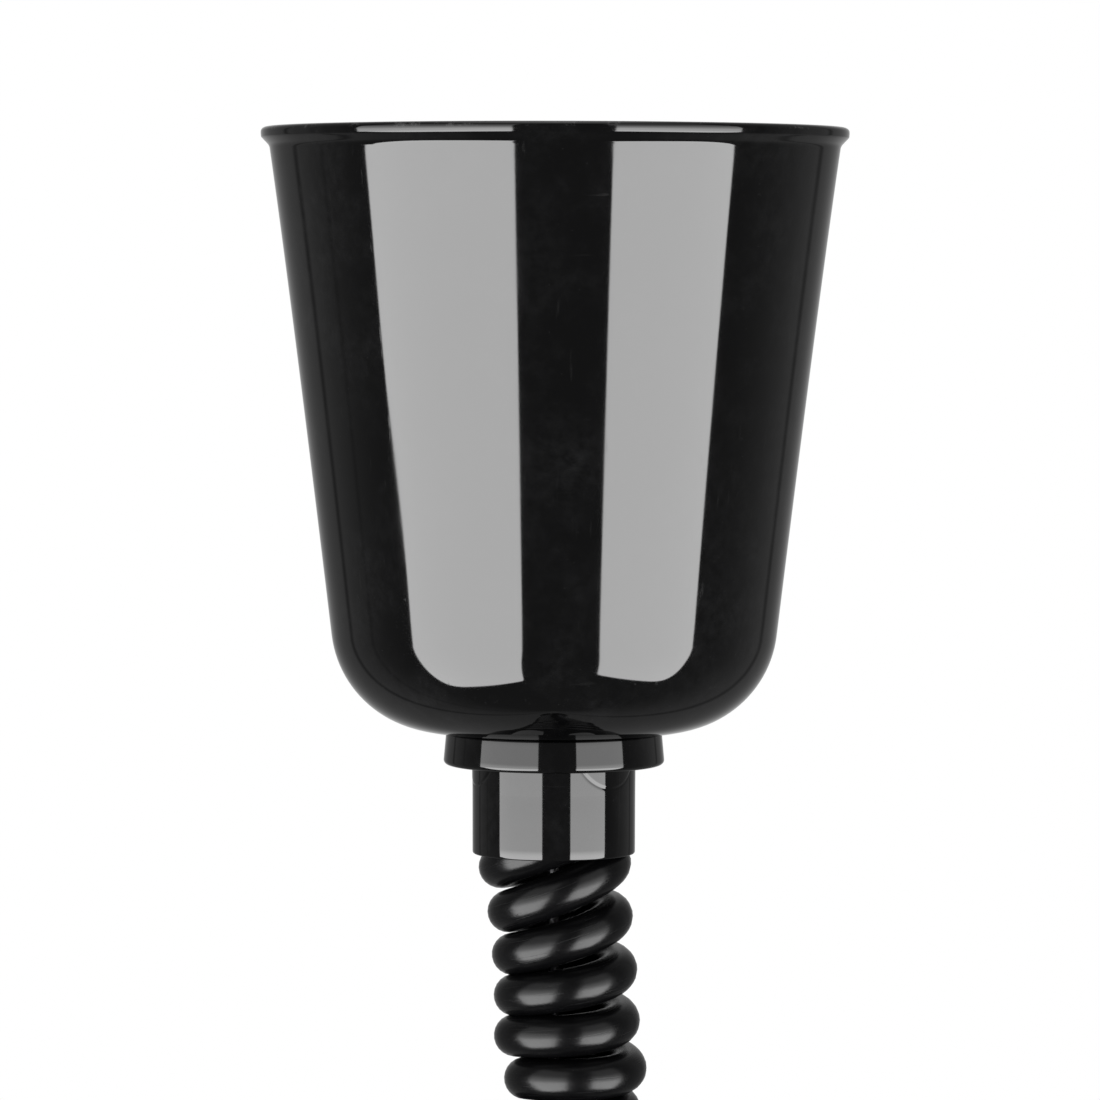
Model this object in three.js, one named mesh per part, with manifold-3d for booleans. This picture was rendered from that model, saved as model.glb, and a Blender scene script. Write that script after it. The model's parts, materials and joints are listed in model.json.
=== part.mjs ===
// Ceiling canopy of a pull-down pendant lamp, with its spring reel, steel rope and coiled flex.
// Millimetres, +Z up. Z = 0 is the ceiling, the rope runs down the Z axis, and the room's side is -Y.
import * as THREE from "three";
import { mergeVertices } from "three/addons/utils/BufferGeometryUtils.js";
import Module from "manifold-3d";

const wasm = await Module();
wasm.setup();

// ---------------------------------------------------------------- driving dimensions
const GAP = 0.3; // between pieces that touch
const WALL = 2; // canopy shell
const RIM = { radius: 48.4, bead: 1.6 }; // the bead stands out to a 100 mm diameter
const CANOPY_DEPTH = 102.7;
const CORNER = { centre: 19.6, radius: 18.5, wallAngle: 7 }; // round bottom corner, wall lean in degrees
const FLARE = { radius: 44.7, z: -30 }; // where the two slopes of the wall would cross

const COLLAR = {
  flangeTop: 18.45,
  flangeBottom: 18.85,
  flangeHeight: 5.8,
  sleeve: 13.95,
  bore: 12.4,
  web: 3.8,
  length: 20.75,
  edge: 1.4,
};
const PAD = { radius: 7.5, proud: 0.3, depth: 2.6, angles: [-45, 75, 195] }; // degrees from +X

const CORD = { radius: 3.55, coilRadius: 8.8 };
const COIL = { top: -113, turns: 31, pitchTop: 7.87, pitchBottom: 7.3, lean: 4.1, leanWave: 200, leanFade: 100 };
const ROPE = { radius: 0.9 };

const REEL = { x: 14, z: -62, radius: 21.5, cavity: 19.5, halfWidth: 12, halfCavity: 10 };
const LUG = { z: -22.4, radius: 6.6, hole: 4, halfThick: 2 };
const NECK = { radius: 5, seat: -86 };
const NIPPLE = { radius: 4, bore: 1.5 };
const DRUM = { flange: 18.5, core: 11, chamber: 10.2, halfWidth: 7 };
const ARBOR = { radius: 2.5, head: 4.5 };

const PLATE = { halfLength: 42, halfWidth: 9, thick: 2, slotX: 31, slotLength: 14, slotWidth: 5.4 };
const TAB = { halfWidth: 12, face: 24, bottom: -40 };
const BLOCK = { halfWidth: 13, top: -6, bottom: -20, depth: 10, poles: 3, polePitch: 8.5 };
const CLAMP_Z = -34;
const SCREW = { head: 2.2, shank: 1.2, hole: 1.5 };

// ---------------------------------------------------------------- places worked out from them
const canopyFloor = -CANOPY_DEPTH;
const collarTop = canopyFloor - GAP;
const coilLength = (COIL.turns * (COIL.pitchTop + COIL.pitchBottom)) / 2;
const coilBottom = COIL.top - coilLength;
const lowerMouth = coilBottom + 11; // the lower sleeve covers the last turn and a half
const lowerFace = lowerMouth - COLLAR.length; // underside of the lower flange
const lowerWeb = lowerFace + COLLAR.web;
const tabBack = TAB.face + PLATE.thick;
const cordClampY = tabBack + CORD.radius + GAP;

// ---------------------------------------------------------------- solids and booleans
function toSolid(geometry) {
  const bare = geometry.index ? geometry.toNonIndexed() : geometry.clone();
  for (const name of Object.keys(bare.attributes)) {
    if (name !== "position") bare.deleteAttribute(name);
  }
  const merged = mergeVertices(bare, 1e-4);
  return new wasm.Manifold(
    new wasm.Mesh({
      numProp: 3,
      vertProperties: merged.attributes.position.array,
      triVerts: new Uint32Array(merged.index.array),
    }),
  );
}

function toGeometry(solid) {
  const mesh = solid.getMesh();
  const geometry = new THREE.BufferGeometry();
  geometry.setAttribute("position", new THREE.BufferAttribute(mesh.vertProperties, 3));
  geometry.setIndex(new THREE.BufferAttribute(mesh.triVerts, 1));
  return geometry;
}

function joined(...solids) {
  return solids.reduce((sum, solid) => sum.add(solid));
}

function cut(solid, ...tools) {
  return tools.reduce((left, tool) => left.subtract(tool), solid);
}

// A ring or disc turned about Z. The outline's [radius, z] corners run anticlockwise, up the outside.
function turned(outline, segments) {
  const points = outline.map(([radius, z]) => new THREE.Vector2(radius, z));
  if (outline[0][0] > 0) points.push(points[0].clone());
  return new THREE.LatheGeometry(points, segments).rotateX(Math.PI / 2);
}

// The same, about the line along Y through (x, z) of the reel's centre. [radius, y] corners.
function turnedOnReel(outline, segments) {
  return turned(outline, segments).rotateX(-Math.PI / 2).translate(REEL.x, 0, REEL.z);
}

function tube(inner, outer, z0, z1, segments) {
  return turned([[inner, z0], [outer, z0], [outer, z1], [inner, z1]], segments);
}

function cylinderZ(radius, z0, z1, segments, x = 0, y = 0) {
  return toSolid(
    new THREE.CylinderGeometry(radius, radius, z1 - z0, segments)
      .rotateX(Math.PI / 2)
      .translate(x, y, (z0 + z1) / 2),
  );
}

function cylinderY(radius, y0, y1, segments, x, z) {
  return toSolid(
    new THREE.CylinderGeometry(radius, radius, y1 - y0, segments).translate(x, (y0 + y1) / 2, z),
  );
}

function block(x0, x1, y0, y1, z0, z1) {
  return toSolid(
    new THREE.BoxGeometry(x1 - x0, y1 - y0, z1 - z0).translate((x0 + x1) / 2, (y0 + y1) / 2, (z0 + z1) / 2),
  );
}

function wire(points, radius, sides, steps) {
  const section = new THREE.Shape();
  section.absarc(0, 0, radius, 0, 2 * Math.PI);
  return new THREE.ExtrudeGeometry(section, {
    steps,
    curveSegments: sides / 2,
    extrudePath: new THREE.CatmullRomCurve3(points.map((p) => new THREE.Vector3(...p))),
  });
}

function hexagon(flats, z0, z1) {
  return toSolid(
    new THREE.CylinderGeometry(flats / Math.sqrt(3), flats / Math.sqrt(3), z1 - z0, 6)
      .rotateX(Math.PI / 2)
      .translate(0, 0, (z0 + z1) / 2),
  );
}

// A slotted screw on +Z: the head's outer face at z = 0 and the shank running down to -length.
function screw(headRadius, headHeight, shankRadius, length) {
  const body = toSolid(
    turned(
      [
        [0, -length],
        [shankRadius, -length],
        [shankRadius, -headHeight],
        [headRadius, -headHeight],
        [headRadius, -0.3 * headHeight],
        [0.8 * headRadius, 0],
        [0, 0],
      ],
      12,
    ),
  );
  const slot = block(-headRadius, headRadius, -0.35, 0.35, -0.45 * headHeight, 1);
  return toGeometry(cut(body, slot));
}

// ---------------------------------------------------------------- the part's tree
const part = new THREE.Group();
const finishes = {
  glossBlack: { color: 0x0b0b0c, roughness: 0.08, metalness: 0 },
  cordBlack: { color: 0x111112, roughness: 0.42, metalness: 0 },
  steel: { color: 0xb4b6b8, roughness: 0.32, metalness: 1 },
  springSteel: { color: 0x5d6066, roughness: 0.28, metalness: 1 },
  brass: { color: 0xb89452, roughness: 0.3, metalness: 1 },
  greyNylon: { color: 0x8f9294, roughness: 0.55, metalness: 0 },
  whiteNylon: { color: 0xe4e2da, roughness: 0.5, metalness: 0 },
  coreBrown: { color: 0x5a2d16, roughness: 0.5, metalness: 0 },
  coreBlue: { color: 0x1e5fae, roughness: 0.5, metalness: 0 },
  coreEarth: { color: 0x5e9a2c, roughness: 0.5, metalness: 0 },
};

function add(name, geometry, finish, parent = part) {
  const mesh = new THREE.Mesh(geometry, new THREE.MeshStandardMaterial(finishes[finish]));
  mesh.name = name;
  parent.add(mesh);
  return mesh;
}

// ---------------------------------------------------------------- canopy
function canopyGeometry() {
  const lean = THREE.MathUtils.degToRad(CORNER.wallAngle);
  const cornerZ = canopyFloor + CORNER.radius;
  const outside = new THREE.Path();
  outside.moveTo(0, canopyFloor);
  outside.lineTo(CORNER.centre, canopyFloor);
  outside.absarc(CORNER.centre, cornerZ, CORNER.radius, -Math.PI / 2, -lean, false);
  outside.quadraticCurveTo(FLARE.radius, FLARE.z, RIM.radius, -2 * RIM.bead);
  outside.absarc(RIM.radius, -RIM.bead, RIM.bead, -Math.PI / 2, Math.PI / 2, false);
  const inside = new THREE.Path();
  inside.moveTo(RIM.radius - WALL, -RIM.bead);
  inside.quadraticCurveTo(
    FLARE.radius - WALL,
    FLARE.z,
    CORNER.centre + (CORNER.radius - WALL) * Math.cos(lean),
    cornerZ - (CORNER.radius - WALL) * Math.sin(lean),
  );
  inside.absarc(CORNER.centre, cornerZ, CORNER.radius - WALL, -lean, -Math.PI / 2, true);
  inside.lineTo(0, canopyFloor + WALL);
  const outline = [...outside.getPoints(5), ...inside.getPoints(4)].map((p) => [p.x, p.y]);
  const shell = toSolid(turned(outline, 40));
  const nippleHole = cylinderZ(NIPPLE.radius + GAP, canopyFloor - 1, canopyFloor + WALL + 1, 20);
  const cordHole = cylinderZ(CORD.radius + 0.45, canopyFloor - 1, canopyFloor + WALL + 1, 20, 0, CORD.coilRadius);
  return toGeometry(cut(shell, nippleHole, cordHole));
}
add("canopy", canopyGeometry(), "glossBlack");

// ---------------------------------------------------------------- collars: flange up, sleeve down
function collarGeometry(centreHole, cordHole) {
  const c = COLLAR;
  const rim = new THREE.Path();
  rim.moveTo(0, -c.web);
  rim.lineTo(c.bore, -c.web);
  rim.lineTo(c.bore + 0.1, -c.length);
  rim.lineTo(c.sleeve - 0.9, -c.length);
  rim.quadraticCurveTo(c.sleeve - 0.05, -c.length, c.sleeve - 0.05, -c.length + 0.9);
  rim.lineTo(c.sleeve, -c.flangeHeight);
  rim.lineTo(c.flangeBottom - c.edge, -c.flangeHeight);
  rim.absarc(c.flangeBottom - c.edge, -c.flangeHeight + c.edge, c.edge, -Math.PI / 2, 0, false);
  rim.lineTo(c.flangeTop, 0);
  rim.lineTo(0, 0);
  const outline = rim.getPoints(3).map((p) => [p.x, p.y]);
  let body = toSolid(turned(outline, 36));
  for (const degrees of PAD.angles) body = body.add(collarPad(degrees));
  return toGeometry(cut(body, centreHole, cordHole));
}

// A shallow round pad standing out of the sleeve under the flange, which hides its upper half.
function collarPad(degrees) {
  const lens = new THREE.CylinderGeometry(PAD.radius, PAD.radius, COLLAR.sleeve, 24)
    .rotateZ(Math.PI / 2)
    .translate(COLLAR.sleeve, 0, PAD.depth - COLLAR.flangeHeight)
    .rotateZ(THREE.MathUtils.degToRad(degrees));
  const sleeveZone = toSolid(
    tube(COLLAR.bore + 0.6, COLLAR.sleeve + PAD.proud, -COLLAR.flangeHeight - PAD.radius, -COLLAR.flangeHeight + 0.5, 40),
  );
  return toSolid(lens).intersect(sleeveZone);
}

const webHole = (radius) => cylinderZ(radius, -COLLAR.web - 1, 1, 20);
const upperCordHole = cylinderZ(CORD.radius + 0.45, -COLLAR.web - 1, 1, 20, 0, CORD.coilRadius);
const upperCollar = add("collar", collarGeometry(webHole(NIPPLE.radius + GAP), upperCordHole), "glossBlack");
upperCollar.position.z = collarTop;

// ---------------------------------------------------------------- coiled flex and steel rope
function coilAxisX(depth) {
  return COIL.lean * Math.sin((2 * Math.PI * depth) / COIL.leanWave) * Math.exp(-depth / COIL.leanFade);
}

// The envelope of the coil: a thick-walled tube that follows the coil's slight lean.
function coilEnvelope() {
  const spans = 16;
  const sides = 14;
  const mouth = collarTop - COLLAR.length;
  const hanging = mouth - lowerMouth;
  const levels = [COIL.top];
  for (let i = 0; i <= spans; i++) levels.push(mouth - (hanging * i) / spans);
  levels.push(coilBottom);
  const rings = levels.length - 1;
  const radii = [CORD.coilRadius - CORD.radius, CORD.coilRadius + CORD.radius];
  const position = [];
  const index = [];
  for (const z of levels) {
    const depth = Math.min(Math.max(mouth - z, 0), hanging);
    const x = coilAxisX(depth) * Math.min(1, (hanging - depth) / 40);
    for (const radius of radii) {
      for (let k = 0; k < sides; k++) {
        const angle = (2 * Math.PI * k) / sides;
        position.push(x + radius * Math.cos(angle), radius * Math.sin(angle), z);
      }
    }
  }
  const at = (ring, shell, k) => (2 * ring + shell) * sides + (k % sides);
  const quad = (a, b, c, d) => index.push(a, b, c, a, c, d);
  for (let k = 0; k < sides; k++) {
    for (let i = 0; i < rings; i++) {
      quad(at(i, 1, k), at(i + 1, 1, k), at(i + 1, 1, k + 1), at(i, 1, k + 1));
      quad(at(i, 0, k + 1), at(i + 1, 0, k + 1), at(i + 1, 0, k), at(i, 0, k));
    }
    quad(at(0, 0, k), at(0, 1, k), at(0, 1, k + 1), at(0, 0, k + 1));
    quad(at(rings, 0, k + 1), at(rings, 1, k + 1), at(rings, 1, k), at(rings, 0, k));
  }
  const geometry = new THREE.BufferGeometry();
  geometry.setAttribute("position", new THREE.Float32BufferAttribute(position, 3));
  geometry.setIndex(index);
  return geometry;
}
add("coiled_flex", coilEnvelope(), "cordBlack");

const ropeEnd = lowerWeb - 5.5;
add("steel_rope", toGeometry(cylinderZ(ROPE.radius, ropeEnd, REEL.z, 12)), "steel");

// The flex's straight end, from the coil up through the canopy's floor to the clamp.
const flexTail = [
  [0, CORD.coilRadius, COIL.top + GAP],
  [0, CORD.coilRadius, COIL.top + 6],
  [0, CORD.coilRadius, canopyFloor + 4],
  [0, 12.6, -91],
  [0, 16.4, -82],
  [0, 17, -70],
  [0, 18.5, -58],
  [0, 24, -50],
  [0, 29, -43.5],
  [0, cordClampY, -38],
  [0, cordClampY, -33],
  [0, cordClampY, -29],
];
add("flex_tail", wire(flexTail, CORD.radius, 12, 28), "cordBlack");

const coreFinishes = { live: "coreBrown", earth: "coreEarth", neutral: "coreBlue" };
Object.entries(coreFinishes).forEach(([core, finish], i) => {
  const side = i - 1;
  const entryY = tabBack + GAP + BLOCK.depth / 2;
  const route = [
    [2.3 * side, cordClampY, -29 + GAP],
    [2.8 * side, cordClampY + 0.2, -27],
    [BLOCK.polePitch * side * 0.9, entryY, BLOCK.bottom - 2.6],
    [BLOCK.polePitch * side, entryY, BLOCK.bottom],
    [BLOCK.polePitch * side, entryY, BLOCK.bottom + 4],
  ];
  add("core_" + core, wire(route, 1.05, 8, 12), finish);
});

// ---------------------------------------------------------------- ceiling plate, hook and terminals
function ceilingPlateGeometry() {
  const p = PLATE;
  const strap = new THREE.Shape();
  const corner = 4;
  strap.moveTo(-p.halfLength + corner, -p.halfWidth);
  strap.lineTo(p.halfLength - corner, -p.halfWidth);
  strap.absarc(p.halfLength - corner, -p.halfWidth + corner, corner, -Math.PI / 2, 0, false);
  strap.absarc(p.halfLength - corner, p.halfWidth - corner, corner, 0, Math.PI / 2, false);
  strap.lineTo(-p.halfLength + corner, p.halfWidth);
  strap.absarc(-p.halfLength + corner, p.halfWidth - corner, corner, Math.PI / 2, Math.PI, false);
  strap.absarc(-p.halfLength + corner, -p.halfWidth + corner, corner, Math.PI, 1.5 * Math.PI, false);
  for (const side of [-1, 1]) {
    const slot = new THREE.Path();
    const reach = (p.slotLength - p.slotWidth) / 2;
    slot.absarc(side * p.slotX + reach, 0, p.slotWidth / 2, -Math.PI / 2, Math.PI / 2, false);
    slot.absarc(side * p.slotX - reach, 0, p.slotWidth / 2, Math.PI / 2, 1.5 * Math.PI, false);
    strap.holes.push(slot);
  }
  const flat = new THREE.ExtrudeGeometry(strap, { depth: p.thick, bevelEnabled: false, curveSegments: 6 });
  flat.translate(0, 0, -p.thick);

  const bend = new THREE.Shape(); // the tab's section, drawn in Y and Z
  bend.moveTo(p.halfWidth - 1, -p.thick);
  bend.lineTo(TAB.face - 1, -p.thick);
  bend.absarc(TAB.face - 1, -p.thick - 1, 1, Math.PI / 2, 0, true);
  bend.lineTo(TAB.face, TAB.bottom);
  bend.lineTo(tabBack, TAB.bottom);
  bend.lineTo(tabBack, -3);
  bend.absarc(tabBack - 3, -3, 3, 0, Math.PI / 2, false);
  bend.lineTo(p.halfWidth - 1, 0);
  const tab = new THREE.ExtrudeGeometry(bend, { depth: 2 * TAB.halfWidth, bevelEnabled: false, curveSegments: 6 });
  tab.translate(0, 0, -TAB.halfWidth);
  tab.applyMatrix4(new THREE.Matrix4().set(0, 0, 1, 0, 1, 0, 0, 0, 0, 1, 0, 0, 0, 0, 0, 1));

  const holes = [-8.5, 8.5].map((x) => cylinderY(SCREW.hole, TAB.face - 1, tabBack + 1, 16, x, CLAMP_Z));
  const earthHole = cylinderZ(1.8, -3, 1, 16, -15, 0);
  return toGeometry(cut(joined(toSolid(flat), toSolid(tab)), ...holes, earthHole));
}
add("ceiling_plate", ceilingPlateGeometry(), "steel");

const weldNutTop = -PLATE.thick - GAP;
const weldNut = cut(hexagon(10, weldNutTop - 5, weldNutTop), cylinderZ(2.6, -12, 0, 16));
add("weld_nut", toGeometry(weldNut), "steel");

const hookRoute = [
  [0, 0, weldNutTop - 0.2],
  [0, 0, -6.5],
  [0, 1.4, -8.8],
  [0, 4.9, -11.4],
  [0, 6, -15],
  [0, 4.2, -19.2],
  [0, 0, -21],
  [0, -4.2, -19.2],
  [0, -6, -15],
  [0, -5.4, -12.2],
];
add("hook", wire(hookRoute, 1.75, 10, 26), "steel");

const earthScrew = add("earth_screw", screw(3, 1.9, 1.5, 3.6), "brass");
earthScrew.rotation.x = Math.PI;
earthScrew.position.set(-15, 0, -PLATE.thick - GAP - 1.9);

function terminalBlockGeometry() {
  const y0 = tabBack + GAP;
  const y1 = y0 + BLOCK.depth;
  const towers = [];
  const holes = [];
  for (let pole = 0; pole < BLOCK.poles; pole++) {
    const x = BLOCK.polePitch * (pole - 1);
    towers.push(block(x - 3.7, x + 3.7, y0, y1, BLOCK.bottom, BLOCK.top));
    holes.push(cylinderZ(1.45, BLOCK.bottom - 1, BLOCK.top + 1, 12, x, y0 + BLOCK.depth / 2));
    for (const z of terminalRows) {
      towers.push(cylinderY(3.2, y1 - 1, y1 + 2.5, 16, x, z));
      holes.push(cylinderY(2.3, y0 + 2, y1 + 3, 16, x, z));
    }
  }
  const spine = block(-BLOCK.halfWidth, BLOCK.halfWidth, y0, y0 + 7, BLOCK.bottom + 4, BLOCK.top - 4);
  return toGeometry(cut(joined(spine, ...towers), ...holes));
}
const terminalRows = [-9.5, -16.5];
add("terminal_block", terminalBlockGeometry(), "whiteNylon");

terminalRows.forEach((z, row) => {
  for (let pole = 0; pole < BLOCK.poles; pole++) {
    const name = "terminal_screw_" + (row * BLOCK.poles + pole + 1);
    const terminalScrew = add(name, screw(2, 1.4, 1.5, 3.2), "brass");
    terminalScrew.rotation.x = -Math.PI / 2;
    terminalScrew.position.set(BLOCK.polePitch * (pole - 1), tabBack + GAP + BLOCK.depth + 1, z);
  }
});

function cordClampGeometry() {
  const inner = CORD.radius + GAP;
  const outer = inner + 1.3;
  const foot = tabBack + GAP;
  const saddle = new THREE.Shape();
  saddle.moveTo(-11, foot);
  saddle.lineTo(-inner, foot);
  saddle.lineTo(-inner, cordClampY);
  saddle.absarc(0, cordClampY, inner, Math.PI, 0, true);
  saddle.lineTo(inner, foot);
  saddle.lineTo(11, foot);
  saddle.lineTo(11, foot + 1.3);
  saddle.lineTo(outer, foot + 1.3);
  saddle.lineTo(outer, cordClampY);
  saddle.absarc(0, cordClampY, outer, 0, Math.PI, false);
  saddle.lineTo(-outer, foot + 1.3);
  saddle.lineTo(-11, foot + 1.3);
  const strip = new THREE.ExtrudeGeometry(saddle, { depth: 7, bevelEnabled: false, curveSegments: 12 });
  strip.translate(0, 0, CLAMP_Z - 3.5);
  const holes = [-8.5, 8.5].map((x) => cylinderY(SCREW.hole, foot - 1, foot + 3, 16, x, CLAMP_Z));
  return toGeometry(cut(toSolid(strip), ...holes));
}
add("cord_clamp", cordClampGeometry(), "greyNylon");

for (const [side, x] of [["left", -8.5], ["right", 8.5]]) {
  const clampScrew = add("clamp_screw_" + side, screw(SCREW.head, 1.4, SCREW.shank, 6), "steel");
  clampScrew.rotation.x = -Math.PI / 2;
  clampScrew.position.set(x, tabBack + 2 * GAP + 1.3 + 1.4, CLAMP_Z);
}

// ---------------------------------------------------------------- spring reel
const reelScrewPlaces = [90, 200, 320].map((degrees) => {
  const angle = THREE.MathUtils.degToRad(degrees);
  return [REEL.x + (REEL.radius + 1) * Math.cos(angle), REEL.z + (REEL.radius + 1) * Math.sin(angle)];
});

function reelHousing() {
  const body = joined(
    cylinderY(REEL.radius, -REEL.halfWidth, REEL.halfWidth, 40, REEL.x, REEL.z),
    block(-LUG.radius, LUG.radius, -LUG.halfThick, LUG.halfThick, REEL.z + 10, LUG.z),
    cylinderY(LUG.radius, -LUG.halfThick, LUG.halfThick, 24, 0, LUG.z),
    cylinderZ(NECK.radius, canopyFloor + WALL + GAP, REEL.z - 14, 24),
    ...reelScrewPlaces.map(([x, z]) => cylinderY(3.2, -7, 7, 16, x, z)),
  );
  return cut(
    body,
    cylinderY(REEL.cavity, -REEL.halfCavity, REEL.halfCavity, 36, REEL.x, REEL.z),
    cylinderY(ARBOR.radius + GAP, -20, 20, 16, REEL.x, REEL.z),
    cylinderY(LUG.hole, -10, 10, 20, 0, LUG.z),
    cylinderZ(ROPE.radius + 0.9, NECK.seat - 1, REEL.z, 12),
    cylinderZ(NIPPLE.radius + GAP, canopyFloor, NECK.seat, 20),
    ...reelScrewPlaces.map(([x, z]) => cylinderY(SCREW.hole, -10, 10, 12, x, z)),
    ...reelScrewPlaces.map(([x, z]) => cylinderY(2.4 + GAP, -13, -7, 16, x, z)),
  );
}

const housing = reelHousing();
const far = 200;
const backSide = block(-far, far, GAP / 2, far, -far, far);
const frontSide = block(-far, far, -far, -GAP / 2, -far, far);
add("reel_housing_front", toGeometry(housing.intersect(frontSide)), "greyNylon");
add("reel_housing_back", toGeometry(housing.intersect(backSide)), "greyNylon");

reelScrewPlaces.forEach(([x, z], i) => {
  const reelScrew = add("reel_screw_" + (i + 1), screw(2.4, 1.5, SCREW.shank, 14), "steel");
  reelScrew.rotation.x = Math.PI / 2;
  reelScrew.position.set(x, -7 - GAP - 1.5, z);
});

const drumOutline = [
  [4.3, -DRUM.halfWidth],
  [DRUM.flange, -DRUM.halfWidth],
  [DRUM.flange, 1 - DRUM.halfWidth],
  [DRUM.core, 1 - DRUM.halfWidth],
  [DRUM.core, DRUM.halfWidth - 1],
  [DRUM.flange, DRUM.halfWidth - 1],
  [DRUM.flange, DRUM.halfWidth],
  [DRUM.chamber, DRUM.halfWidth],
  [DRUM.chamber, 2 - DRUM.halfWidth],
  [4.3, 2 - DRUM.halfWidth],
];
const drumWidth = DRUM.halfWidth;
add("rope_drum", turnedOnReel(drumOutline, 32), "whiteNylon");
const windingOuter = REEL.x - ROPE.radius - 0.35;
add(
  "rope_winding",
  turnedOnReel([[DRUM.core + GAP, -5.6], [windingOuter, -5.6], [windingOuter, 5.6], [DRUM.core + GAP, 5.6]], 32),
  "steel",
);
add(
  "drum_bush",
  turnedOnReel([[2.8, -8.6], [5.5, -8.6], [5.5, -drumWidth - GAP], [4, -drumWidth - GAP], [4, -4.8], [2.8, -4.8]], 20),
  "brass",
);
add(
  "spring_cover",
  turnedOnReel([[3.2, drumWidth + GAP], [16, drumWidth + GAP], [16, drumWidth + 1.2], [3.2, drumWidth + 1.2]], 32),
  "steel",
);

// The flat spiral spring, a strip on edge wound between the arbor and the drum.
function powerSpringGeometry() {
  const turns = 6;
  const stepsPerTurn = 18;
  const strip = 0.45;
  const first = 3.6;
  const last = 9.6;
  const edge = (offset) =>
    Array.from({ length: turns * stepsPerTurn + 1 }, (_, i) => {
      const share = i / (turns * stepsPerTurn);
      const radius = first + (last - first) * share + offset;
      const angle = 2 * Math.PI * turns * share;
      return new THREE.Vector2(radius * Math.cos(angle), radius * Math.sin(angle));
    });
  const outline = new THREE.Shape([...edge(0), ...edge(strip).reverse()]);
  return new THREE.ExtrudeGeometry(outline, { depth: 10, bevelEnabled: false, steps: 1 })
    .translate(0, 0, -5)
    .rotateX(Math.PI / 2)
    .translate(REEL.x, 0.9, REEL.z);
}
add("power_spring", powerSpringGeometry(), "springSteel");

function arborGeometry() {
  const head = REEL.halfWidth + GAP;
  const body = turnedOnReel(
    [
      [0, -head - 3.4],
      [ARBOR.head - 0.6, -head - 3.4],
      [ARBOR.head, -head - 2.8],
      [ARBOR.head, -head],
      [ARBOR.radius, -head],
      [ARBOR.radius, head + 5.2],
      [0, head + 5.2],
    ],
    20,
  );
  const slot = block(REEL.x - 6, REEL.x + 6, -head - 5, -head - 1.9, REEL.z - 0.6, REEL.z + 0.6);
  return toGeometry(cut(toSolid(body), slot));
}
add("tension_arbor", arborGeometry(), "steel");

const lockNut = toGeometry(cut(hexagon(9, 0, 3.4), cylinderZ(ARBOR.radius + GAP, -1, 5, 16)));
const lockNutMesh = add("arbor_lock_nut", lockNut, "steel");
lockNutMesh.rotation.x = -Math.PI / 2;
lockNutMesh.position.set(REEL.x, REEL.halfWidth + GAP, REEL.z);

// ---------------------------------------------------------------- rope outlet
const nippleBottom = collarTop - COLLAR.web - 0.7;
add("rope_nipple", tube(NIPPLE.bore, NIPPLE.radius, nippleBottom, NECK.seat - GAP, 20), "brass");
const guideOutline = [
  [1.15, nippleBottom - 1.6],
  [2.6, nippleBottom - 1.6],
  [3.4, nippleBottom - 0.9],
  [3.4, nippleBottom - GAP],
  [1.15, nippleBottom - GAP],
];
add("rope_guide", turned(guideOutline, 16), "whiteNylon");

// ---------------------------------------------------------------- lower end: where the lamp hangs
const stopTop = nippleBottom - 1.6 - GAP;
const stopOutline = [
  [1.2, stopTop - 5],
  [1.9, stopTop - 5],
  [2.3, stopTop - 4.4],
  [2.3, stopTop - 0.6],
  [1.9, stopTop],
  [1.2, stopTop],
];
add("rope_stop", turned(stopOutline, 14), "steel");

const sleeveDown = collarGeometry(webHole(5 + GAP), cylinderZ(1, 40, 41, 8));
const lowerCollar = add("lower_collar", sleeveDown, "glossBlack");
lowerCollar.rotation.x = Math.PI;
lowerCollar.position.z = lowerFace;

const nippleHead = lowerWeb + GAP;
const lowerNippleEnd = lowerFace - 13.5;
const lowerNippleOutline = [
  [3.6, lowerNippleEnd],
  [4.4, lowerNippleEnd],
  [5, lowerNippleEnd + 0.8],
  [5, nippleHead],
  [7, nippleHead],
  [7, nippleHead + 1.5],
  [3.6, nippleHead + 1.5],
];
add("lower_nipple", turned(lowerNippleOutline, 24), "brass");
add("lower_washer", tube(5 + GAP, 8, lowerFace - GAP - 1, lowerFace - GAP, 24), "steel");
const lowerNutTop = lowerFace - 2 * GAP - 1;
add("lower_nut", toGeometry(cut(hexagon(14, lowerNutTop - 3.4, lowerNutTop), cylinderZ(5 + GAP, -400, -300, 24))), "brass");

const anchorZ = nippleHead + 1.5 + GAP;
const coreSlots = [-3.2, 3.2].map((x) => block(x - 0.9, x + 0.9, -1.8, 1.8, anchorZ - 1, anchorZ + 2));
add(
  "anchor_washer",
  toGeometry(cut(toSolid(tube(ROPE.radius + GAP, 6.6, anchorZ, anchorZ + 1, 24)), ...coreSlots)),
  "steel",
);
add("rope_ferrule", tube(ROPE.radius + GAP, 2.4, ropeEnd - 1, anchorZ - GAP, 14), "steel");

export default part;
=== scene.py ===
"""Visual model of a pull-down pendant's ceiling canopy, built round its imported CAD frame."""

import json
import math

import bpy
from mathutils import Matrix, Vector


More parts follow.
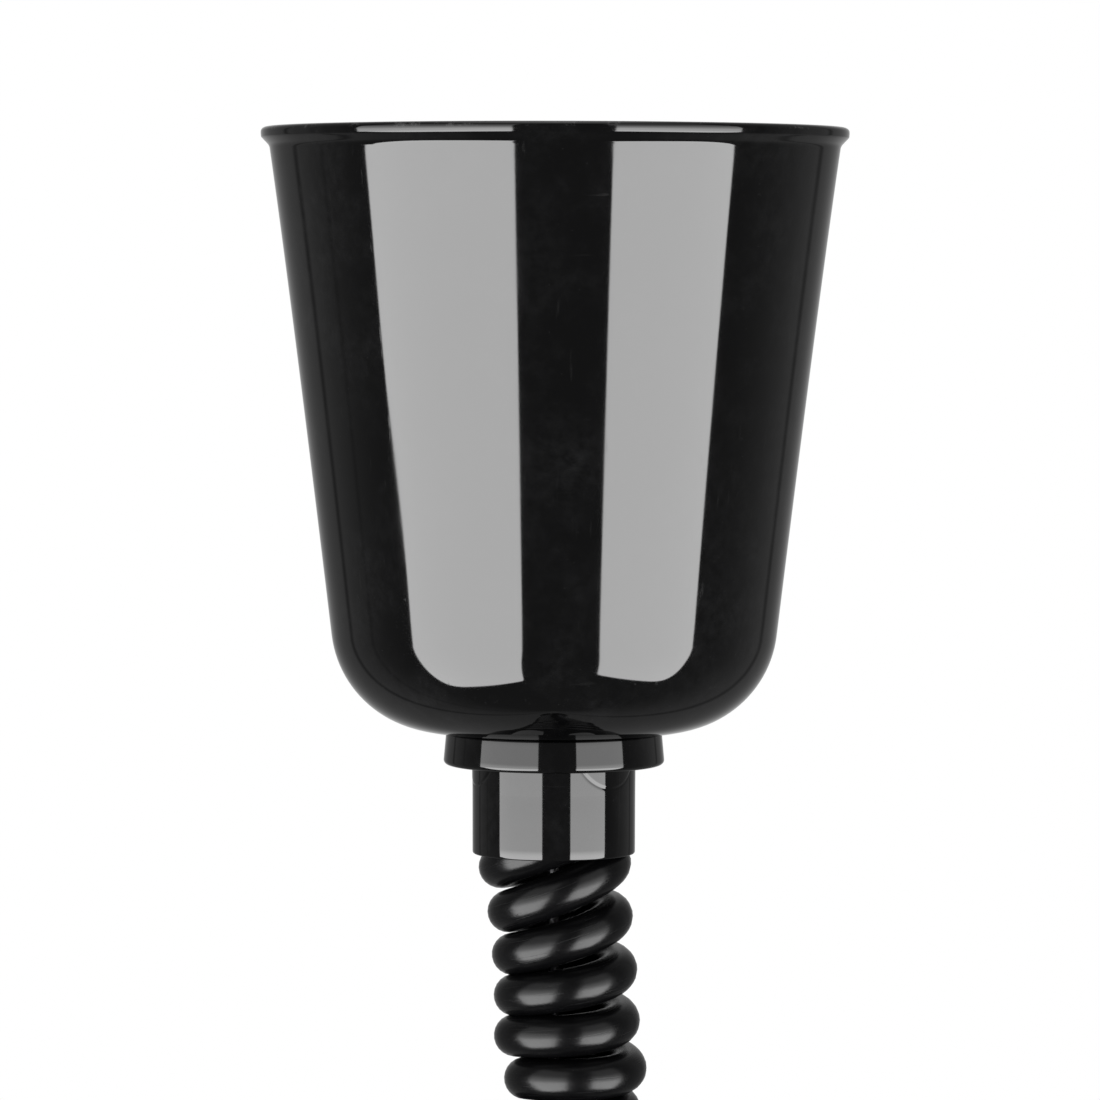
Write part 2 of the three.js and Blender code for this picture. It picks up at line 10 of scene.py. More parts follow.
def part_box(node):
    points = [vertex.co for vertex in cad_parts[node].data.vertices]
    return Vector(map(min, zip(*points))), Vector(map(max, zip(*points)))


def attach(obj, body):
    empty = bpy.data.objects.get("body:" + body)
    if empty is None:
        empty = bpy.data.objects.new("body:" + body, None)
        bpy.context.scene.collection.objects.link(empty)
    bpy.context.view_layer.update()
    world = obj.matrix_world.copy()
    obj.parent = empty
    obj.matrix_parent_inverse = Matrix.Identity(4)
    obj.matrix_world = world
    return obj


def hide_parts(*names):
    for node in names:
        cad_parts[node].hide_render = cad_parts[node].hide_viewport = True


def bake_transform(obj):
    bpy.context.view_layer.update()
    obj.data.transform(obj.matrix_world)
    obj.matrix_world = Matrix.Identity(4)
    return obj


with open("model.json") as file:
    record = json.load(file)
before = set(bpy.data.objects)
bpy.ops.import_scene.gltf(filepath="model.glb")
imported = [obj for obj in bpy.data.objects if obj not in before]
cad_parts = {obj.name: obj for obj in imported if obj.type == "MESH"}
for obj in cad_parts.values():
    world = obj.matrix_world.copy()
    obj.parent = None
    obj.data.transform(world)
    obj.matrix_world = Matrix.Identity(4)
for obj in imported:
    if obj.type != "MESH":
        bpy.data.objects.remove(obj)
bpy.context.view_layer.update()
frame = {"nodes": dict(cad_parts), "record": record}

MM = 0.001
TAU = 2 * math.pi

# ---- places taken from the frame
CANOPY_DEPTH = -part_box("canopy")[0].z / MM
COLLAR_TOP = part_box("collar")[1].z / MM
COLLAR_LENGTH = COLLAR_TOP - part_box("collar")[0].z / MM
MOUTH = COLLAR_TOP - COLLAR_LENGTH
LOWER_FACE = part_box("lower_collar")[0].z / MM
LOWER_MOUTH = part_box("lower_collar")[1].z / MM
COIL_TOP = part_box("coiled_flex")[1].z / MM
COIL_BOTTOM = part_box("coiled_flex")[0].z / MM
REEL = Vector((14, 0, -62))  # the drum's centre, mm

# ---- sizes, mm
RIM_RADIUS, RIM_BEAD = 48.4, 1.6  # the wall just under the rim, and how far the rim stands out from it
WALL = 2.0  # the cup's thickness
CORNER_CENTRE, CORNER_RADIUS = 19.6, 18.5  # the bottom corner's centre, from the axis, and its radius
WALL_LEAN = math.radians(7)  # the wall's lean where the corner ends
FLARE = (44.7, -30)  # radius and z that the wall's curve is drawn towards
SLEEVE, BORE, WEB = 13.95, 12.4, 3.8  # the sleeve's two radii, and the web's thickness across its top
FLANGE_TOP, FLANGE_BOTTOM = 18.45, 18.85  # the flange's radii
FLANGE_HEIGHT, FLANGE_EDGE = 5.5, 0.8
PAD_RADIUS, PAD_PROUD = 7.3, 0.05
PAD_RISE = 3.9  # of a pad's centre over the flange's underside, so most of its disc is in the flange
PAD_ANGLES = [math.radians(a) for a in (-45, 75, 195)]
CORD_RADIUS, COIL_RADIUS = 3.62, 8.73
CORD_SIDES = 24
STRAIGHT_THINNING = 0.97  # the flex is slimmer where it is not pressed into turns
HOLE_Y = 8.8  # of the flex in the canopy's floor
CANOPY_HOLES = ((4.3, 0), (4.0, HOLE_Y))  # radius and y: the rope's hole, then the flex's
TURNS = 30
OPENING, OPENING_FADE = 4.3, 2.9  # the first turns stand this much further apart, over so many turns
LEAN, LEAN_WAVE, LEAN_FADE = 4.1, 200, 100  # the hanging coil's sideways wave: size, length, decay
ON_AXIS = 1e-6  # a radius below this is a point on the axis


def share(value):
    """The value, held between 0 and 1."""
    return min(1, max(0, value))


# ---- mesh helpers
def piece(name, verts, faces, smooth_below=40):
    """A mesh object from points in millimetres.

    It is shaded smooth where its faces meet at less than that angle.
    """
    mesh = bpy.data.meshes.new(name)
    mesh.from_pydata([(x * MM, y * MM, z * MM) for x, y, z in verts], [], faces)
    mesh.update()
    obj = bpy.data.objects.new(name, mesh)
    bpy.context.scene.collection.objects.link(obj)
    shade(obj, smooth_below)
    return obj


def shade(obj, smooth_below=40):
    obj.data.shade_smooth()
    obj.data.set_sharp_from_angle(angle=math.radians(smooth_below))


def arc(centre, radius, start, end, steps):
    """Points of a circle's arc, angles in degrees."""
    spread = [math.radians(start + (end - start) * i / steps) for i in range(steps + 1)]
    return [(centre[0] + radius * math.cos(a), centre[1] + radius * math.sin(a)) for a in spread]


def bow(a, b, c, steps):
    """Points of a quadratic curve from a to c, drawn towards b."""
    shares = [i / steps for i in range(steps + 1)]
    weights = [((1 - s) ** 2, 2 * s * (1 - s), s * s) for s in shares]
    return [tuple(u * a[k] + v * b[k] + w * c[k] for k in (0, 1)) for u, v, w in weights]


def straight(a, b, steps):
    """Points of a straight line from a, stopping one step short of b."""
    shares = [i / steps for i in range(steps)]
    return [(a[0] + (b[0] - a[0]) * s, a[1] + (b[1] - a[1]) * s) for s in shares]


def filleted(points, radius):
    """A closed outline with its corners rounded."""
    rounded = []
    for i, corner in enumerate(points):
        before, after = Vector(points[i - 1]), Vector(points[(i + 1) % len(points)])
        here = Vector(corner)
        reach = min(radius, 0.4 * (before - here).length, 0.4 * (after - here).length)
        start = here + (before - here).normalized() * reach
        end = here + (after - here).normalized() * reach
        rounded += bow(tuple(start), tuple(here), tuple(end), 3)
    return rounded


def turned(name, outline, segments=96, place=None, smooth_below=40):
    """A solid of revolution about Z.

    Outline corners are (radius, z), anticlockwise, and the outline is closed or runs from axis to axis.
    """
    verts, faces, rows = [], [], []
    for radius, z in outline:
        if radius < ON_AXIS:
            rows.append([len(verts)])
            verts.append((0, 0, z))
            continue
        rows.append(list(range(len(verts), len(verts) + segments)))
        verts += [
            (radius * math.cos(TAU * k / segments), radius * math.sin(TAU * k / segments), z)
            for k in range(segments)
        ]
    loop = len(rows) if outline[0][0] > ON_AXIS else len(rows) - 1
    for i in range(loop):
        low, high = rows[i], rows[(i + 1) % len(rows)]
        for k in range(segments):
            n = (k + 1) % segments
            if len(low) == 1:
                faces.append((low[0], high[n], high[k]))
            elif len(high) == 1:
                faces.append((low[k], low[n], high[0]))
            else:
                faces.append((low[k], low[n], high[n], high[k]))
    if place is not None:
        verts = [tuple(place @ Vector(v)) for v in verts]
    return piece(name, verts, faces, smooth_below)


def reshape(obj, radius_at):
    """Moves each vertex to radius_at(radius, angle, z) from the Z axis, all in millimetres."""
    for vertex in obj.data.vertices:
        x, y, z = (c / MM for c in vertex.co)
        radius = math.hypot(x, y)
        if radius > 0.01:
            scale = radius_at(radius, math.atan2(y, x), z) / radius
            vertex.co.x *= scale
            vertex.co.y *= scale
    obj.data.update()


def plate(name, outline, z0, z1, place=None):
    """A flat slab from z0 to z1 with the given outline of (x, y) corners, anticlockwise."""
    count = len(outline)
    verts = [(x, y, z) for z in (z0, z1) for x, y in outline]
    faces = [tuple(reversed(range(count))), tuple(range(count, 2 * count))]
    faces += [(i, (i + 1) % count, count + (i + 1) % count, count + i) for i in range(count)]
    if place is not None:
        verts = [tuple(place @ Vector(v)) for v in verts]
    return piece(name, verts, faces)


def box(x0, x1, y0, y1, z0, z1, place=None):
    return plate("box", [(x0, y0), (x1, y0), (x1, y1), (x0, y1)], z0, z1, place)


def rod(radius, z0, z1, x=0.0, y=0.0, place=None, segments=64):
    move = Matrix.Translation((x, y, 0))
    outline = [(0, z0), (radius, z0), (radius, z1), (0, z1)]
    return turned("rod", outline, segments, place @ move if place is not None else move)


def frames_along(points):
    """A point, a normal and a binormal at each point of a route, turning as little as possible."""
    tangents = []
    for i in range(len(points)):
        ahead = points[min(i + 1, len(points) - 1)]
        behind = points[max(i - 1, 0)]
        tangents.append((ahead - behind).normalized())
    normal = tangents[0].orthogonal().normalized()
    rows = []
    for point, tangent in zip(points, tangents):
        normal = (normal - tangent * normal.dot(tangent)).normalized()
        rows.append((point, normal, tangent.cross(normal)))
    return rows


def tube(name, route, radius, sides=20, ridge=None):
    """A closed tube along a route in millimetres. ridge(along, around) scales the radius."""
    points = [Vector(p) for p in route]
    rows = frames_along(points)
    verts, faces = [], []
    along = 0
    for i, (point, normal, binormal) in enumerate(rows):
        along += (point - points[i - 1]).length if i else 0
        for k in range(sides):
            around = TAU * k / sides
            r = radius * (ridge(along, around) if ridge else 1)
            verts.append(point + normal * (r * math.cos(around)) + binormal * (r * math.sin(around)))
    for i in range(len(rows) - 1):
        for k in range(sides):
            n = (k + 1) % sides
            faces.append((i * sides + k, i * sides + n, (i + 1) * sides + n, (i + 1) * sides + k))
    faces.append(tuple(reversed(range(sides))))
    faces.append(tuple(range((len(rows) - 1) * sides, len(rows) * sides)))
    return piece(name, verts, faces, 60)


def smooth_route(points, steps):
    """A Catmull-Rom curve through the points."""
    vectors = [Vector(p) for p in points]
    route = []
    for i in range(len(vectors) - 1):
        p0, p1 = vectors[max(i - 1, 0)], vectors[i]
        p2, p3 = vectors[i + 1], vectors[min(i + 2, len(vectors) - 1)]
        for s in range(steps):
            t = s / steps
            bend = (2 * p0 - 5 * p1 + 4 * p2 - p3) * t**2
            twist = (3 * p1 - p0 - 3 * p2 + p3) * t**3
            route.append(0.5 * (2 * p1 + (p2 - p0) * t + bend + twist))
    route.append(vectors[-1])
    return route


def combine(obj, other, operation="DIFFERENCE"):
    """Cuts other from obj, or joins it on, applies the result and deletes the other."""
    modifier = obj.modifiers.new("combine", "BOOLEAN")
    modifier.operation = operation
    modifier.solver = "EXACT"
    modifier.object = other
    bpy.context.view_layer.update()
    evaluated = obj.evaluated_get(bpy.context.evaluated_depsgraph_get())
    mesh = bpy.data.meshes.new_from_object(evaluated)
    obj.modifiers.clear()
    old = obj.data
    obj.data = mesh
    bpy.data.meshes.remove(old)
    bpy.data.objects.remove(other)
    shade(obj)


def move_to(obj, place):
    """Puts a piece made round the origin where it belongs; the place is in millimetres."""
    obj.data.transform(Matrix.Scale(MM, 4) @ place @ Matrix.Scale(1 / MM, 4))
    obj.data.update()


# ---- materials
class Nodes:
    """Shorthand for making and linking the nodes of a tree."""

    def __init__(self, tree):
        self.tree = tree

    def node(self, kind, **settings):
        made = self.tree.nodes.new(kind)
        for key, value in settings.items():
            if key in made.inputs:
                made.inputs[key].default_value = value
            else:
                setattr(made, key, value)
        return made

    def link(self, value, socket):
        """Feeds a socket from another node's output, or sets its value."""
        if isinstance(value, bpy.types.NodeSocket):
            self.tree.links.new(value, socket)
        else:
            socket.default_value = value

    def maths(self, operation, *values):
        made = self.node("ShaderNodeMath", operation=operation)
        for socket, value in zip(made.inputs, values):
            self.link(value, socket)
        return made.outputs["Value"]

    def ramp(self, value, low, high, out_low=0.0, out_high=1.0, kind="LINEAR"):
        made = self.node("ShaderNodeMapRange", interpolation_type=kind)
        numbers = {"From Min": low, "From Max": high, "To Min": out_low, "To Max": out_high}
        for socket, number in numbers.items():
            made.inputs[socket].default_value = number
        self.link(value, made.inputs["Value"])
        return made.outputs["Result"]

    def split(self, vector):
        """A vector's X, Y and Z outputs, by name."""
        made = self.node("ShaderNodeSeparateXYZ")
        self.link(vector, made.inputs["Vector"])
        return made.outputs


class Shader(Nodes):
    """A node material round one Principled shader, with shorthand for the nodes that feed it."""

    def __init__(self, name, colour, roughness, metallic=0.0, specular=0.5):
        self.material = bpy.data.materials.new(name)
        self.material.use_nodes = True
        super().__init__(self.material.node_tree)
        self.shader = self.tree.nodes["Principled BSDF"]
        self.set("Base Color", (*colour, 1))
        self.set("Roughness", roughness)
        self.set("Metallic", metallic)
        self.set("Specular IOR Level", specular)
        self.position = self.node("ShaderNodeTexCoord").outputs["Object"]
        self.last_bump = None

    def set(self, socket, value):
        self.shader.inputs[socket].default_value = value

    def mapped(self, scale=(1, 1, 1), turn=(0, 0, 0), coordinates=None):
        mapping = self.node("ShaderNodeMapping")
        mapping.inputs["Scale"].default_value = scale
        mapping.inputs["Rotation"].default_value = turn
        self.link(coordinates or self.position, mapping.inputs["Vector"])
        return mapping.outputs["Vector"]

    def noise(self, scale, detail=3.0, rough=0.5, coordinates=None):
        made = self.node("ShaderNodeTexNoise", Scale=scale, Detail=detail, Roughness=rough)
        self.link(coordinates or self.position, made.inputs["Vector"])
        return made.outputs["Fac"]

    def cells(self, scale):
        made = self.node("ShaderNodeTexVoronoi", Scale=scale)
        self.link(self.position, made.inputs["Vector"])
        return made.outputs["Distance"]

    def lay(self):
        """The place along and round a cord that add_lay stores."""
        made = self.node("ShaderNodeAttribute", attribute_name="lay", attribute_type="GEOMETRY")
        return made.outputs["Vector"]

    def mix(self, factor, a, b):
        made = self.node("ShaderNodeMix", data_type="RGBA")
        self.link(factor, made.inputs["Factor"])
        for socket, value in ((made.inputs[6], a), (made.inputs[7], b)):
            self.link((*value, 1) if isinstance(value, tuple) else value, socket)
        return made.outputs[2]

    def faded(self, factor, strength, a, b):
        """a, turning towards b by the factor times the strength."""
        return self.mix(self.maths("MULTIPLY", factor, strength), a, b)

    def colour(self, output):
        self.link(output, self.shader.inputs["Base Color"])

    def roughness(self, output):
        self.link(output, self.shader.inputs["Roughness"])

    def bump(self, height, depth_mm):
        """Adds a bump whose full height is depth_mm."""
        made = self.node("ShaderNodeBump", Distance=depth_mm * MM)
        self.link(height, made.inputs["Height"])
        if self.last_bump:
            self.link(self.last_bump.outputs["Normal"], made.inputs["Normal"])
        self.last_bump = made
        self.link(made.outputs["Normal"], self.shader.inputs["Normal"])

    def streaks(self, scale, stretch, turn, low, high):
        """Thin marks along one direction, 0 to 1."""
        field = self.noise(scale, 2.0, 0.6, self.mapped(stretch, turn))
        return self.ramp(field, low, high)


def gloss_black():
    """Polished black plastic with hairlines, haze, specks of dust and a chipped rim."""
    clean, hazy = (0.0009, 0.0009, 0.0010), (0.011, 0.011, 0.0115)
    scratched, dusty, bare = (0.02, 0.02, 0.02), (0.06, 0.06, 0.06), (0.24, 0.24, 0.24)
    rim_low, rim_high = -0.0009, -0.0001  # the rim's top edge, in metres
    s = Shader("gloss_black_plastic", (0.0010, 0.0010, 0.0011), 0.05, specular=0.95)
    hairline = s.streaks(900, (1, 1, 0.03), (0.3, 0.2, 0.5), 0.68, 0.8)
    crossing = s.streaks(700, (0.04, 1, 1), (0.5, 1.1, 0.2), 0.7, 0.82)
    haze = s.ramp(s.noise(65, 5, 0.65), 0.42, 0.75)
    speck = s.ramp(s.cells(420), 0.0, 0.05, 1.0, 0.0)
    marks = s.maths("MAXIMUM", hairline, crossing)
    lifted = s.maths("MULTIPLY", haze, s.ramp(s.noise(420, 4, 0.7), 0.35, 0.7))
    edge = s.ramp(s.split(s.position)["Z"], rim_low, rim_high)
    chipped = s.maths("MULTIPLY", edge, s.ramp(s.noise(260, 5, 0.7), 0.56, 0.66))
    base = s.faded(lifted, 0.8, clean, hazy)
    base = s.faded(marks, 0.25, base, scratched)
    base = s.faded(speck, 0.35, base, dusty)
    s.colour(s.faded(chipped, 0.55, base, bare))
    worn = s.maths("MAXIMUM", s.maths("MULTIPLY", marks, 0.10), s.maths("MULTIPLY", chipped, 0.35))
    s.roughness(s.maths("ADD", s.ramp(s.noise(90, 3), 0.3, 0.7, 0.035, 0.06), worn))
    s.bump(s.noise(46, 2, 0.45), 0.006)
    s.bump(s.noise(700, 3, 0.6), 0.0006)
    s.bump(chipped, 0.02)
    return s.material


def cord_black():
    """Satin black sheath with rub marks that run along the cord."""
    clean, streaked, rubbed = (0.0022, 0.0022, 0.0025), (0.02, 0.02, 0.02), (0.012, 0.012, 0.012)
    s = Shader("black_flex_sheath", (0.003, 0.003, 0.0033), 0.24)
    lay = s.lay()
    along = s.ramp(s.noise(1.0, 3, 0.6, s.mapped((0.10, 7.0, 1), coordinates=lay)), 0.60, 0.74)
    rub = s.ramp(s.noise(1.0, 4, 0.7, s.mapped((0.5, 5.0, 1), coordinates=lay)), 0.5, 0.8)
    grain = s.noise(2600, 3, 0.6)
    tone = s.faded(along, 0.3, clean, streaked)
    s.colour(s.faded(rub, 0.25, tone, rubbed))
    s.roughness(s.maths("ADD", s.ramp(grain, 0.3, 0.7, 0.2, 0.27), s.maths("MULTIPLY", along, 0.1)))
    s.bump(s.noise(150, 2, 0.5), 0.05)
    s.bump(along, -0.01)
    s.bump(grain, 0.004)
    return s.material


def sheath(name, colour, stripe=None):
    """A core's satin sheath, with a second colour along it where it has a stripe."""
    s = Shader(name, colour, 0.42)
    shadow = tuple(0.6 * c for c in colour)
    base = s.mix(s.ramp(s.noise(500, 3), 0.35, 0.7), colour, shadow)
    if stripe:
        band = s.maths("SINE", s.split(s.lay())["Y"])
        base = s.mix(s.ramp(band, -0.06, 0.06), base, stripe)
    s.colour(base)
    s.roughness(s.ramp(s.noise(1500, 2), 0.3, 0.7, 0.36, 0.52))
    s.bump(s.noise(900, 3), 0.006)
    return s.material


def nylon(name, colour):
    """Moulded nylon: a faint cloud in its colour, a fine grain and slow waves."""
    roughness = 0.5
    s = Shader(name, colour, roughness)
    darker = tuple(0.78 * c for c in colour)
    s.colour(s.mix(s.ramp(s.noise(60, 4, 0.6), 0.35, 0.7), colour, darker))
    s.roughness(s.ramp(s.noise(700, 3), 0.3, 0.7, roughness - 0.08, roughness + 0.1))
    s.bump(s.noise(3200, 2, 0.6), 0.012)
    s.bump(s.noise(30, 2), 0.04)
    return s.material


def metal(name, colour, roughness, stretch=(1, 1, 0.03), stain=None):
    """Brushed or drawn metal; stretch is smallest along the brushing."""
    s = Shader(name, colour, roughness, metallic=1.0)
    brushed = s.noise(2400, 3, 0.6, s.mapped(stretch))
    cloud = s.ramp(s.noise(110, 4, 0.65), 0.36, 0.72)
    s.colour(s.faded(cloud, 0.7, colour, stain or tuple(0.62 * c for c in colour)))
    grain = s.ramp(brushed, 0.3, 0.7, roughness - 0.06, roughness + 0.1)
    s.roughness(s.maths("ADD", grain, s.maths("MULTIPLY", cloud, 0.08)))
    s.bump(brushed, 0.004)
    s.bump(s.noise(420, 3), 0.006)
    return s.material


LOOKS = {
    "gloss_black": gloss_black(),
    "black_flex": cord_black(),
    "core_brown": sheath("brown_core", (0.13, 0.045, 0.018)),
    "core_blue": sheath("blue_core", (0.02, 0.11, 0.38)),
    "core_green_yellow": sheath("green_yellow_core", (0.06, 0.26, 0.035), (0.62, 0.52, 0.03)),
    "white_nylon": nylon("white_nylon", (0.62, 0.6, 0.54)),
    "grey_nylon": nylon("grey_nylon", (0.16, 0.165, 0.17)),
    "zinc_steel": metal("zinc_steel", (0.25, 0.255, 0.27), 0.42, stain=(0.17, 0.175, 0.19)),
    "spring_steel": metal("blued_steel", (0.12, 0.14, 0.18), 0.3, (1, 0.03, 1)),
    "brass": metal("brass", (0.46, 0.3, 0.1), 0.3, (1, 1, 0.05), stain=(0.3, 0.19, 0.07)),
}
ROPE_STEEL = metal("rope_steel", (0.24, 0.24, 0.25), 0.36, (1, 1, 0.2))


def finish_as(obj, slot, body, nodes):
    """Gives a piece the material for its slot, a body if it rides on one, and hides the CAD nodes it
    stands for.
    """
    obj.data.materials.clear()
    obj.data.materials.append(LOOKS[slot])
    if body:
        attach(obj, body)
    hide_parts(*nodes)


# ---- camera
EYE = Vector((-0.74, -950, -21.3)) * MM
TARGET = Vector((-0.74, 0, -71.9)) * MM
ROLL = math.radians(0.11)
camera_data = bpy.data.cameras.new("camera")
camera_data.sensor_width = 36  # mm, as is the lens
camera_data.lens = 182.5
camera_data.clip_start = 0.05
camera_data.clip_end = 60
camera = bpy.data.objects.new("camera", camera_data)
camera.location = EYE
camera.rotation_euler = (
    (TARGET - EYE).to_track_quat("-Z", "Y").to_matrix() @ Matrix.Rotation(ROLL, 3, "Z")
).to_euler()
bpy.context.scene.collection.objects.link(camera)
bpy.context.scene.camera = camera


# ---- coiled flex
TOP_GAP, BOTTOM_GAP = 0.26, 0.1  # between the flex and the ends of the coil's CAD solid
FIRST_TURN = COIL_TOP - CORD_RADIUS - TOP_GAP
LAST_TURN = COIL_BOTTOM + CORD_RADIUS + BOTTOM_GAP
PITCH = (FIRST_TURN - LAST_TURN - OPENING) / TURNS
PER_TURN = 36  # points
START_ANGLE = -2.5 * math.pi  # of turn 0, at +Y
LEAD = 0.25  # of a turn, bent down from the straight flex above
TAIL_END = Vector((0, HOLE_Y, COLLAR_TOP - 4.3))  # where the straight flex hands over to the coil
UNEVEN, UNEVEN_PER_TURN = 0.12, 1.7  # how much the turns differ in radius, and how fast that changes
# Where the turns just under the sleeve differ from the rule: at which turn, over how many, by how much.
WIDE_TURN = (1.0, 0.42, 0.6)
LOW_TURN = (0.68, 0.24, 0.8)
LEFT_SIDE_SAGS = (4.0, 1.6, 0.3)
TURN_STANDS_RIGHT = (5.5, 0.5, 1.5)
TURN_STANDS_LEFT = (4.8, 0.3, -0.5)


def hump(turn, middle, width, size):
    """A single smooth wave along the coil, as high as its size at its middle."""
    return size * math.exp(-(((turn - middle) / width) ** 2))


def coil_tilt(depth):
    """How far one turn's plane leans towards +X, as a slope; depth is measured down from the mouth.

    The first turns lean most. The lean then swings the other way and dies out in a slow wave.
    """
    settled, middle, swing, lean_back = 36, 0.07, 0.195, 0.125
    if depth < settled:
        return middle + swing * math.cos(math.pi * depth / settled)
    fade, wave = 55, 24
    rest = depth - settled
    return -lean_back * math.exp(-rest / fade) * math.cos(rest / wave)


def coil_shift(depth):
    """How far the coil's axis swings towards +X between the two collars."""
    hanging = MOUTH - LOWER_MOUTH
    straightening = 40
    depth = min(max(depth, 0), hanging)
    wave = LEAN * math.sin(TAU * depth / LEAN_WAVE) * math.exp(-depth / LEAN_FADE)
    return wave * min(1, (hanging - depth) / straightening)


def coil_point(turn):
    z = FIRST_TURN - PITCH * turn - OPENING * (1 - math.exp(-turn / OPENING_FADE))
    depth = MOUTH - z
    free = share((depth + 6) / 7) * share((z - LOWER_MOUTH + 4) / 14)  # 0 inside the collars, 1 between
    radius = COIL_RADIUS + UNEVEN * math.sin(UNEVEN_PER_TURN * turn + 1) * free
    radius += hump(turn, *WIDE_TURN)
    angle = START_ANGLE + TAU * turn
    z += coil_tilt(depth) * free * radius * math.cos(angle)
    z -= hump(turn, *LEFT_SIDE_SAGS) * (1 - math.cos(angle)) + hump(turn, *LOW_TURN)
    aside = coil_shift(depth) + hump(turn, *TURN_STANDS_RIGHT) + hump(turn, *TURN_STANDS_LEFT)
    return Vector((aside + radius * math.cos(angle), -radius * math.sin(angle), z))


def coil_route():
    """The flex's centre line: a bend out of the straight flex above, then the coil."""
    first = coil_point(LEAD)
    heading = (coil_point(LEAD + 0.01) - first).normalized()
    drop, reach = 8.0, 8.0  # how far the bend keeps its direction at its two ends
    a, b = TAIL_END - Vector((0, 0, drop)), first - heading * reach
    steps = 12
    route = []
    for i in range(steps):
        t = i / steps
        start = (1 - t) ** 3 * TAIL_END + 3 * t * (1 - t) ** 2 * a
        route.append(start + 3 * t * t * (1 - t) * b + t**3 * first)
    steps = round((TURNS - LEAD) * PER_TURN)
    route += [coil_point(LEAD + (TURNS - LEAD) * i / steps) for i in range(steps + 1)]
    return route


def add_lay(obj, sides, route):
    """Stores each vertex's place along and round the cord, for the marks and stripes of its sheath.

    The place round the cord runs up one side and back down the other, so that it has no seam, and it
    drifts with the length.
    """
    half_round, drift = 4, 0.012
    lay = obj.data.attributes.new("lay", "FLOAT_VECTOR", "POINT")
    along = 0
    values = []
    for i, point in enumerate(route):
        along += (Vector(point) - Vector(route[i - 1])).length if i else 0
        for k in range(sides):
            mirrored = min(k, sides - k) / sides * 2
            values += [along, mirrored * half_round + along * drift, 0]
    lay.data.foreach_set("vector", values)


def thin_at_start(along, around):
    """A rule for tube: as slim as the straight flex at first, full after 9 mm."""
    return STRAIGHT_THINNING + (1 - STRAIGHT_THINNING) * min(1, along / 9)


route = coil_route()
coil = tube("flex_coil", route, CORD_RADIUS, CORD_SIDES, thin_at_start)
add_lay(coil, CORD_SIDES, route)
finish_as(coil, "black_flex", None, ["coiled_flex"])
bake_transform(coil)

# ---- steel rope
ROPE_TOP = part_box("steel_rope")[1].z / MM
ROPE_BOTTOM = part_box("steel_rope")[0].z / MM
ROPE_RADIUS, ROPE_STEP = 0.9, 0.8
STRANDS = 6
ROPE_LAY = 11  # mm for one turn of a strand


def strand_ridge(along, around):
    """A rule for tube: round ridges that wind along the rope, one for each strand."""
    return 0.86 + 0.14 * abs(math.cos(STRANDS / 2 * (around - TAU * along / ROPE_LAY)))


rope_steps = round((ROPE_TOP - ROPE_BOTTOM) / ROPE_STEP)
rope_drop = ROPE_BOTTOM - ROPE_TOP
rope_route = [(0, 0, ROPE_TOP + rope_drop * i / rope_steps) for i in range(rope_steps + 1)]
rope = tube("rope_strands", rope_route, ROPE_RADIUS, 36, strand_ridge)
finish_as(rope, "zinc_steel", None, ["steel_rope"])
rope.data.materials[0] = ROPE_STEEL
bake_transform(rope)


# ---- canopy
def canopy_outline():
    """The cup's section: out and up from the middle of its floor, over the rim, and down the inside."""
    floor = -CANOPY_DEPTH
    corner_z = floor + CORNER_RADIUS
    lean = math.degrees(WALL_LEAN)
    lip = RIM_RADIUS + RIM_BEAD
    under = -2 * RIM_BEAD  # the level of the lip's foot
    foot = (RIM_RADIUS + 0.05, under - 0.5)  # where the wall turns out into the lip
    slope_start, slope_end = (RIM_RADIUS + 0.45, under + 0.35), (lip - 0.2, -1.85)
    band_start, band_end = (lip - 0.06, -1.55), (lip, -0.85)
    outside = [(0, floor)] + straight((2, floor), (CORNER_CENTRE, floor), 8)
    outside += arc((CORNER_CENTRE, corner_z), CORNER_RADIUS, -90, -lean, 26)
    outside += bow(outside[-1], FLARE, foot, 26)[1:]
    outside += bow(foot, (RIM_RADIUS + 0.1, under), slope_start, 5)[1:]
    outside += straight(slope_start, slope_end, 4)[1:]
    outside += bow(slope_end, (lip - 0.07, -1.72), band_start, 6)[1:]
    outside += straight(band_start, band_end, 4)[1:]
    outside += bow(band_end, (lip - 0.1, -0.1), (lip - 1.0, 0), 9)[1:]
    mouth_edge = 0.75
    inner_radius = CORNER_RADIUS - WALL
    corner_top = (
        CORNER_CENTRE + inner_radius * math.cos(WALL_LEAN),
        corner_z - inner_radius * math.sin(WALL_LEAN),
    )
    inside = arc((RIM_RADIUS - 0.4, -mouth_edge), mouth_edge, 90, 180, 5)
    inside += bow((RIM_RADIUS - WALL + 0.1, under), (FLARE[0] - WALL, FLARE[1]), corner_top, 20)
    inside += arc((CORNER_CENTRE, corner_z), inner_radius, -lean, -90, 16)[1:]
    inside += [(2, floor + WALL), (0, floor + WALL)]
    return outside + inside


canopy = turned("canopy_cup", canopy_outline(), 256)
for hole, hole_y in CANOPY_HOLES:
    combine(canopy, rod(hole, -CANOPY_DEPTH - 1, -CANOPY_DEPTH + WALL + 1, 0, hole_y))
finish_as(canopy, "gloss_black", "canopy_cup", ["canopy"])


